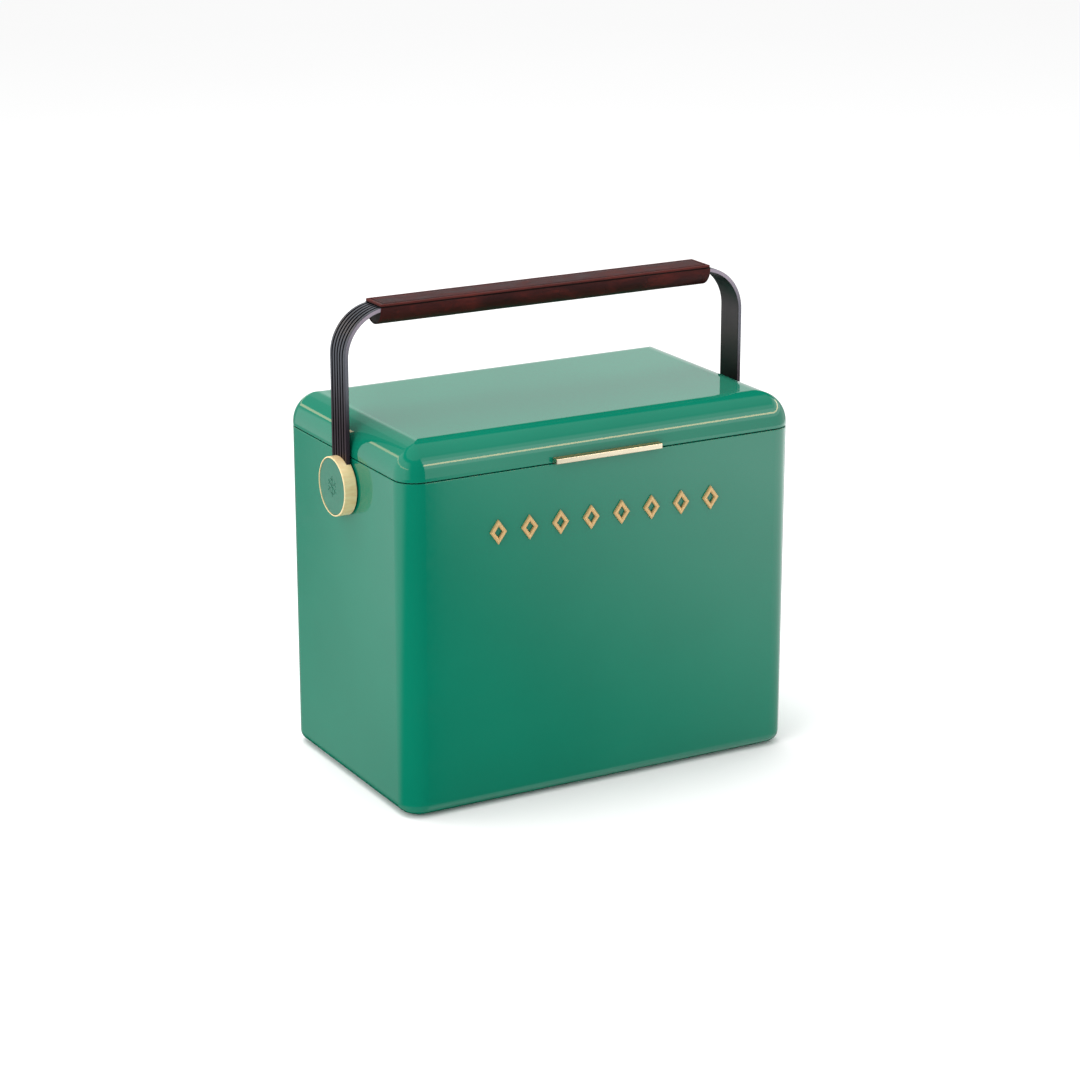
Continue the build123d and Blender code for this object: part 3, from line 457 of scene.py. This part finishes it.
def bridge(mesh, first, second, closed=True):
    """Quads between two rows of vertices."""
    count = len(first) if closed else len(first) - 1
    for i in range(count):
        j = (i + 1) % len(first)
        mesh.faces.new((first[i], first[j], second[j], second[i]))


def rounding(inward, radius):
    """How far a quarter-round edge falls away, inward from its outline."""
    if inward >= radius:
        return 0.0
    return radius - math.sqrt(max(0.0, radius**2 - (radius - inward) ** 2))


def hide_relief(x, along, low):
    """Depth of the slack, dents and drawn creases in the wrapped leather, 0 to about 0.3 mm.

    The factors on x are noise cells per metre, those on along are cells round the outline, and the
    third coordinate picks a different slice of the noise for each.
    """
    slow = noise.noise(Vector((x * 22, along * 60, 3.7)))
    fine = noise.noise(Vector((x * 130, along * 210, 9.1)))
    crease = noise.noise(Vector((x * 36, along * 520, 5.3)))
    drawn = max(0.0, crease - 0.25) * low
    return (0.09 + 0.09 * slow + 0.03 * fine + 0.22 * drawn) * MM


def wrap_outline():
    """Points from the front top edge, round the underside, to the rear top edge: direction and reach."""
    side = WRAP_HIGH.z - ARC_Z
    rises = [side, side - 0.4 * VEE, side - VEE, side / 2]
    points = [(-1.0, 0.0, rise) for rise in rises]
    for i in range(WRAP_ARC + 1):
        turn = math.pi * i / WRAP_ARC
        points.append((-math.cos(turn), -math.sin(turn), 0.0))
    points += [(1.0, 0.0, rise) for rise in reversed(rises)]
    return points


def grip_wrap(material):
    """Leather round the core and up both edges of the strap, one thickness of hide."""
    mesh = bmesh.new()
    outline = wrap_outline()
    rows = []
    for station in range(WRAP_STATIONS + 1):
        rows.append(GRIP_HALF * (2 * station / WRAP_STATIONS - 1))
    ends = [FOLD_R * (1 - math.cos(math.pi / 2 * k / 5)) for k in range(1, 6)]
    rows += [GRIP_HALF - e for e in ends] + [e - GRIP_HALF for e in ends]
    loops = []
    for x in sorted(set(round(x, 7) for x in rows)):
        fall = rounding(GRIP_HALF - abs(x), FOLD_R)
        outer = []
        inner = []
        for number, (across, down, rise) in enumerate(outline):
            along = number / len(outline)
            turned_in = max(0.0, rise - (WRAP_HIGH.z - ARC_Z - VEE))
            reach = GRIP_R - fall - turned_in - hide_relief(x, along, max(0.0, -down))
            outer.append(mesh.verts.new((x, GRIP_Y + across * reach, ARC_Z + down * reach + rise)))
            reach = GRIP_R - LEATHER
            inner.append(mesh.verts.new((x, GRIP_Y + across * reach, ARC_Z + down * reach + rise)))
        loops.append((outer, inner))
    for (outer_a, inner_a), (outer_b, inner_b) in zip(loops, loops[1:]):
        bridge(mesh, outer_a, outer_b, closed=False)
        bridge(mesh, inner_a, inner_b, closed=False)
        for end in (0, -1):
            mesh.faces.new((outer_a[end], outer_b[end], inner_b[end], inner_a[end]))
    for outer, inner in (loops[0], loops[-1]):
        bridge(mesh, outer, inner, closed=False)
    return finished("grip_leather_wrap", mesh, material, "handle")


def grip_end(side, material):
    """Half-round leather plug that closes one end of the grip, slightly domed, below the strap."""
    mesh = bmesh.new()
    radius = GRIP_R - LEATHER - END_CLEAR
    top = STRAP_UNDER
    top_turn = math.asin((ARC_Z - top) / radius)
    outline = []
    for i in range(WRAP_ARC + 1):
        turn = top_turn + (math.pi - 2 * top_turn) * i / WRAP_ARC
        outline.append((-math.cos(turn) * radius, ARC_Z - math.sin(turn) * radius))
    for i in range(1, 12):
        outline.append((outline[WRAP_ARC][0] * (1 - i / 6), top))
    centre = Vector((0.0, top - radius * 0.42))
    face = GRIP_HALF - END_IN
    back, edge, dome = face - END_T, face - 0.35 * MM, face + END_DOME
    rings = [(back, 1.0), (edge, 1.0), (face - 0.08 * MM, 0.97)]
    rings += [(face, 0.9), (face + 0.75 * END_DOME, 0.6), (dome, 0.25)]
    loops = []
    for x, share in rings:
        loop = []
        for y, z in outline:
            point = centre + (Vector((y, z)) - centre) * share
            dent = 0.05 * MM * noise.noise(Vector((y * 300, z * 300, side))) if share < 0.95 else 0.0
            loop.append(mesh.verts.new((side * (x + dent), GRIP_Y + point.x, point.y)))
        loops.append(loop)
    for first, second in zip(loops, loops[1:]):
        bridge(mesh, first, second)
    mesh.faces.new(loops[0])
    mesh.faces.new(loops[-1])
    label = "left" if side < 0 else "right"
    return finished(f"grip_leather_end_{label}", mesh, material, "handle")


def strip_edge(x):
    """Half width of the strip at x, with its rounded corners."""
    return STRIP_HALF_Y - rounding(STRIP_HALF_X - abs(x), STRIP_CORNER_R)


def strip_height(x, y):
    """Top of the leather strip: rolled edge, pressed stitch line, and a slightly full middle."""
    inward = min(strip_edge(x) - abs(y), STRIP_HALF_X - abs(x))
    line = math.exp(-((inward - CREASE_IN) / (CREASE_W / 2)) ** 2)
    inside = min(1.0, max(0.0, (inward - CREASE_IN) / (6 * MM)))
    fullness = 0.14 * MM * (1 - inside) ** 2 if inward > CREASE_IN else 0.1 * MM
    slack = 0.05 * MM * (1 + noise.noise(Vector((x * 40, y * 90, 1.3))))
    drawn = 0.05 * MM * max(0.0, noise.noise(Vector((x * 16, y * 700, 4.4))))
    drop = rounding(inward, STRIP_EDGE_R) + CREASE_DEPTH * line + fullness + slack + drawn
    return STRIP_HIGH.z - min(drop, STRIP_T - 0.25 * MM)


def graded(half, fine, coarse, band):
    """Positions from -half to half, fine within band of each end and coarse between them."""
    near = [half - band + i * fine for i in range(int(band / fine))] + [half]
    count = max(2, round(2 * (half - band) / coarse))
    middle = [-(half - band) + 2 * (half - band) * i / count for i in range(1, count)]
    return [-p for p in reversed(near)] + middle + near


def grip_strip(material):
    """Flat leather strip on top of the strap, with a sewn border."""
    mesh = bmesh.new()
    xs = graded(STRIP_HALF_X, 0.2 * MM, 1.2 * MM, 5 * MM)
    across = [p / STRIP_HALF_Y for p in graded(STRIP_HALF_Y, 0.16 * MM, 0.5 * MM, 5 * MM)]
    rows = []
    for x in xs:
        half = strip_edge(x)
        row = [mesh.verts.new((x, GRIP_Y + half * a, strip_height(x, half * a))) for a in across]
        rows.append(row)
    waist_rows = []
    floor_rows = []
    for x in xs:
        half = strip_edge(x)
        low = STRIP_LOW.z + 0.02 * MM
        waist_rows.append([mesh.verts.new((x, GRIP_Y + half * a, low + VEE)) for a in (-1.0, 1.0)])
        floor_rows.append([mesh.verts.new((x, GRIP_Y + (half - VEE) * a, low)) for a in (-1.0, 1.0)])
    for first, second in zip(rows, rows[1:]):
        bridge(mesh, first, second, closed=False)
    for here in range(len(xs) - 1):
        there = here + 1
        for upper, lower in ((rows, waist_rows), (waist_rows, floor_rows)):
            mesh.faces.new((upper[here][0], upper[there][0], lower[there][0], lower[here][0]))
            mesh.faces.new((upper[here][-1], lower[here][-1], lower[there][-1], upper[there][-1]))
        near, far = floor_rows[here], floor_rows[there]
        mesh.faces.new((near[0], far[0], far[1], near[1]))
    for end in (0, -1):
        waist = waist_rows[end]
        mesh.faces.new((*rows[end], waist[1], waist[0]))
        mesh.faces.new((waist[0], waist[1], floor_rows[end][1], floor_rows[end][0]))
    return finished("grip_leather_strip", mesh, material, "handle", sharp_deg=55.0)


def stitch(mesh, middle, direction):
    """One short thread, sunk at both ends."""
    across = Vector((-direction.y, direction.x, 0.0))
    steps = 7
    sides = 6
    loops = []
    for i in range(steps):
        share = 2 * i / (steps - 1) - 1
        radius = STITCH_R * math.sqrt(max(0.06, 1 - share**4))
        centre = middle + direction * (share * STITCH_L / 2)
        centre.z -= 0.22 * MM * share**4
        loop = []
        for k in range(sides):
            turn = 2 * math.pi * k / sides
            offset = across * math.cos(turn) * radius * 1.25 + Vector((0, 0, math.sin(turn) * radius))
            loop.append(mesh.verts.new(centre + offset))
        loops.append(loop)
    for first, second in zip(loops, loops[1:]):
        bridge(mesh, first, second)
    mesh.faces.new(loops[0])
    mesh.faces.new(loops[-1])


def grip_stitching(material):
    """Thread along the pressed line all round the strip."""
    mesh = bmesh.new()
    half_x = STRIP_HALF_X - CREASE_IN
    half_y = STRIP_HALF_Y - CREASE_IN
    runs = [
        (Vector((1, 0, 0)), half_x, lambda p, side: (p, side * half_y)),
        (Vector((0, 1, 0)), half_y, lambda p, side: (side * half_x, p)),
    ]
    for direction, half, place in runs:
        count = int((2 * half - STITCH_L) / STITCH_PITCH)
        for i in range(count + 1):
            for side in (-1, 1):
                x, y = place((i - count / 2) * STITCH_PITCH, side)
                z = strip_height(x, y) + STITCH_R * 0.45
                stitch(mesh, Vector((x, GRIP_Y + y, z)), direction)
    return finished("grip_stitching", mesh, material, "handle", sharp_deg=80.0)


WRAP_LEATHER = leather("wrap_leather", srgb(36, 8, 7), srgb(57, 14, 12), srgb(92, 27, 20), 0.25)
STRIP_LEATHER = leather("strip_leather", srgb(30, 10, 10), srgb(58, 24, 24), srgb(92, 38, 33), 0.6, 0.1,
                        sewn=True)
END_LEATHER = leather("end_leather", srgb(30, 24, 20), srgb(42, 33, 28), srgb(56, 43, 36), 0.3)
THREAD = leather("waxed_thread", srgb(16, 6, 6), srgb(26, 10, 9), srgb(40, 17, 14), 0.5)

wrap = grip_wrap(WRAP_LEATHER)
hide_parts("grip_wrap")
strip = grip_strip(STRIP_LEATHER)
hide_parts("grip_strip")
ends = [grip_end(side, END_LEATHER) for side in (-1, 1)]
for piece in (wrap, strip, *ends, grip_stitching(THREAD)):
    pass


# ---------------------------------------------------------------- floor, light and camera
CAMERA_PLACE = (-1.1214, -2.0076, 0.8937)
CAMERA_YAW_DEG = 29.20           # from +Y towards +X
CAMERA_DOWN_DEG = 17.39
CAMERA_LENS_MM = 98.77
SENSOR_MM = 36.0
FLOOR_HALF = 14.0


def stage_floor():
    """Large flat floor that gloss doesn't see."""
    mesh = bmesh.new()
    corners = [(-1, -1), (1, -1), (1, 1), (-1, 1)]
    mesh.faces.new([mesh.verts.new((x * FLOOR_HALF, y * FLOOR_HALF, 0.0)) for x, y in corners])
    data = bpy.data.meshes.new("stage_floor")
    mesh.to_mesh(data)
    mesh.free()
    data.materials.append(pale_floor())
    floor = bpy.data.objects.new("stage_floor", data)
    bpy.context.scene.collection.objects.link(floor)
    floor.visible_glossy = False


def softbox(name, place, aim, size, watts):
    """Large square lamp at place that faces aim."""
    light = bpy.data.lights.new(name, "AREA")
    light.shape = "SQUARE"
    light.size = size
    light.energy = watts
    lamp = bpy.data.objects.new(name, light)
    lamp.location = place
    lamp.rotation_euler = (Vector(aim) - Vector(place)).to_track_quat("-Z", "Y").to_euler()
    lamp.visible_glossy = False
    lamp.visible_camera = False
    bpy.context.scene.collection.objects.link(lamp)


def studio():
    """Even pale surroundings for diffuse light. Gloss sees white panels, strip lights and dark gaps."""
    world = bpy.data.worlds.new("studio")
    world.use_nodes = True
    world.cycles.sampling_method = "NONE"
    bpy.context.scene.world = world
    g = Graph(world.node_tree)
    direction = g.add("ShaderNodeTexCoord").outputs["Generated"]
    split = g.add("ShaderNodeSeparateXYZ", {"Vector": direction})
    x, y, z = (split.outputs[axis] for axis in "XYZ")
    degrees = 180 / math.pi
    up = g.math("MULTIPLY", g.math("ARCSINE", z), degrees)
    round_it = g.math("MULTIPLY", g.math("ARCTAN2", x, g.math("MULTIPLY", y, -1.0)), degrees)

    def product(*factors):
        result = factors[0]
        for factor in factors[1:]:
            result = g.math("MULTIPLY", result, factor)
        return result

    def slope(value, low, high, to_low, to_high):
        return g.remap(value, low, high, to_low, to_high, smooth=False)

    def azimuth(low, high, soft):
        """Between two azimuths in degrees, 0 in front of the box and 90 to its right."""
        return g.window(round_it, low, high, soft)

    def elevation(low, high, soft):
        return g.window(up, low, high, soft)

    def share(value, low, high):
        """0 at low and 1 at high, held between them."""
        return slope(value, low, high, 0.0, 1.0)

    def total(*terms):
        result = terms[0]
        for term in terms[1:]:
            result = g.math("ADD", result, term)
        return result

    # The camera sees the front face mirror azimuth 27 to 34 and elevation -22 to -16, the left face
    # mirror azimuth -156 to -154 at the same elevations, and the lid's top mirror azimuth 147 to 155
    # and elevation 13 to 17.
    across = share(round_it, 27.5, 34)
    rise = share(up, -21.9, -16)
    bulge = product(across, slope(across, 0, 1, 1.6, 1.0))
    front_low = total(
        product(across, across, 0.45),
        product(rise, rise, rise, 0.75),
        product(bulge, g.remap(up, -21.9, -17), 0.94),
        0.1,
    )
    front_right = product(azimuth(27.1, 118, 0.3), elevation(-60, -13, 3), front_low)
    front_high = product(
        azimuth(24, 108, 3),
        elevation(-13, 50, 4),
        total(1.2, elevation(15, 39, 2)),
    )
    line_over_front = product(azimuth(24, 108, 3), elevation(24.4, 29.0, 0.5))
    overhead_gloss = product(elevation(52, 90, 3), 0.5)
    left_rise = product(share(up, -22, -16), share(round_it, -155.7, -153.8), 0.7)
    leaning = total(round_it, product(slope(up, -24, -14, 10, 0), 8.0))
    left_back = product(
        g.remap(leaning, -82, -38, 1.0, 0.0),
        elevation(-27, 40, 5),
        total(slope(up, -22, -16, 0.52, 0.32), left_rise),
    )
    line_over_left = product(azimuth(-190, -60, 6), elevation(17.2, 20.4, 0.6))
    top_fade = slope(round_it, 147.7, 154.2, 0.92, 0.8)
    top_back = product(azimuth(114, 200, 5), elevation(-25, 24, 2), top_fade)
    top_left = product(azimuth(157, 200, 4), elevation(-24, 50, 3), 0.5)
    floor_gloss = product(azimuth(-165, 105, 15), elevation(-90, -29, 4), 0.36)
    panels = [
        front_right, front_high, product(line_over_front, 10.0), overhead_gloss,
        left_back, product(line_over_left, 3.4), top_back, top_left, floor_gloss,
    ]
    gloss = total(*panels, 0.005)
    is_gloss = g.add("ShaderNodeLightPath").outputs["Is Glossy Ray"]
    strength = g.add("ShaderNodeMix", data_type="FLOAT")
    g.put(strength.inputs["Factor"], is_gloss)
    g.put(strength.inputs["A"], 1.0)
    g.put(strength.inputs["B"], gloss)
    warm = product(total(line_over_front, line_over_left), is_gloss)
    colour = g.mix(warm, (1.0, 1.0, 1.0, 1.0), srgb(255, 218, 178))
    background = g.add("ShaderNodeBackground", {"Color": colour, "Strength": strength.outputs[0]})
    output = g.add("ShaderNodeOutputWorld")
    g.tree.links.new(background.outputs[0], output.inputs["Surface"])


def camera():
    """Camera with no roll and no shift, looking slightly down on the front and left faces."""
    data = bpy.data.cameras.new("camera")
    data.sensor_width = SENSOR_MM
    data.lens = CAMERA_LENS_MM
    data.clip_start = 0.05
    data.clip_end = 100.0
    eye = bpy.data.objects.new("camera", data)
    eye.location = CAMERA_PLACE
    eye.rotation_euler = (math.radians(90 - CAMERA_DOWN_DEG), 0.0, math.radians(-CAMERA_YAW_DEG))
    bpy.context.scene.collection.objects.link(eye)
    bpy.context.scene.camera = eye


stage_floor()
softbox("overhead", place=(-0.2, 0.45, 1.9), aim=(0, 0, 0.1), size=1.6, watts=30.0)
softbox("left_fill", place=(-2.4, -0.8, 1.1), aim=(0, 0, 0.15), size=1.8, watts=26.0)
studio()
camera()
bpy.context.scene.view_settings.view_transform = "Standard"

# ---------------------------------------------------------------- update the scene
bpy.context.view_layer.update()
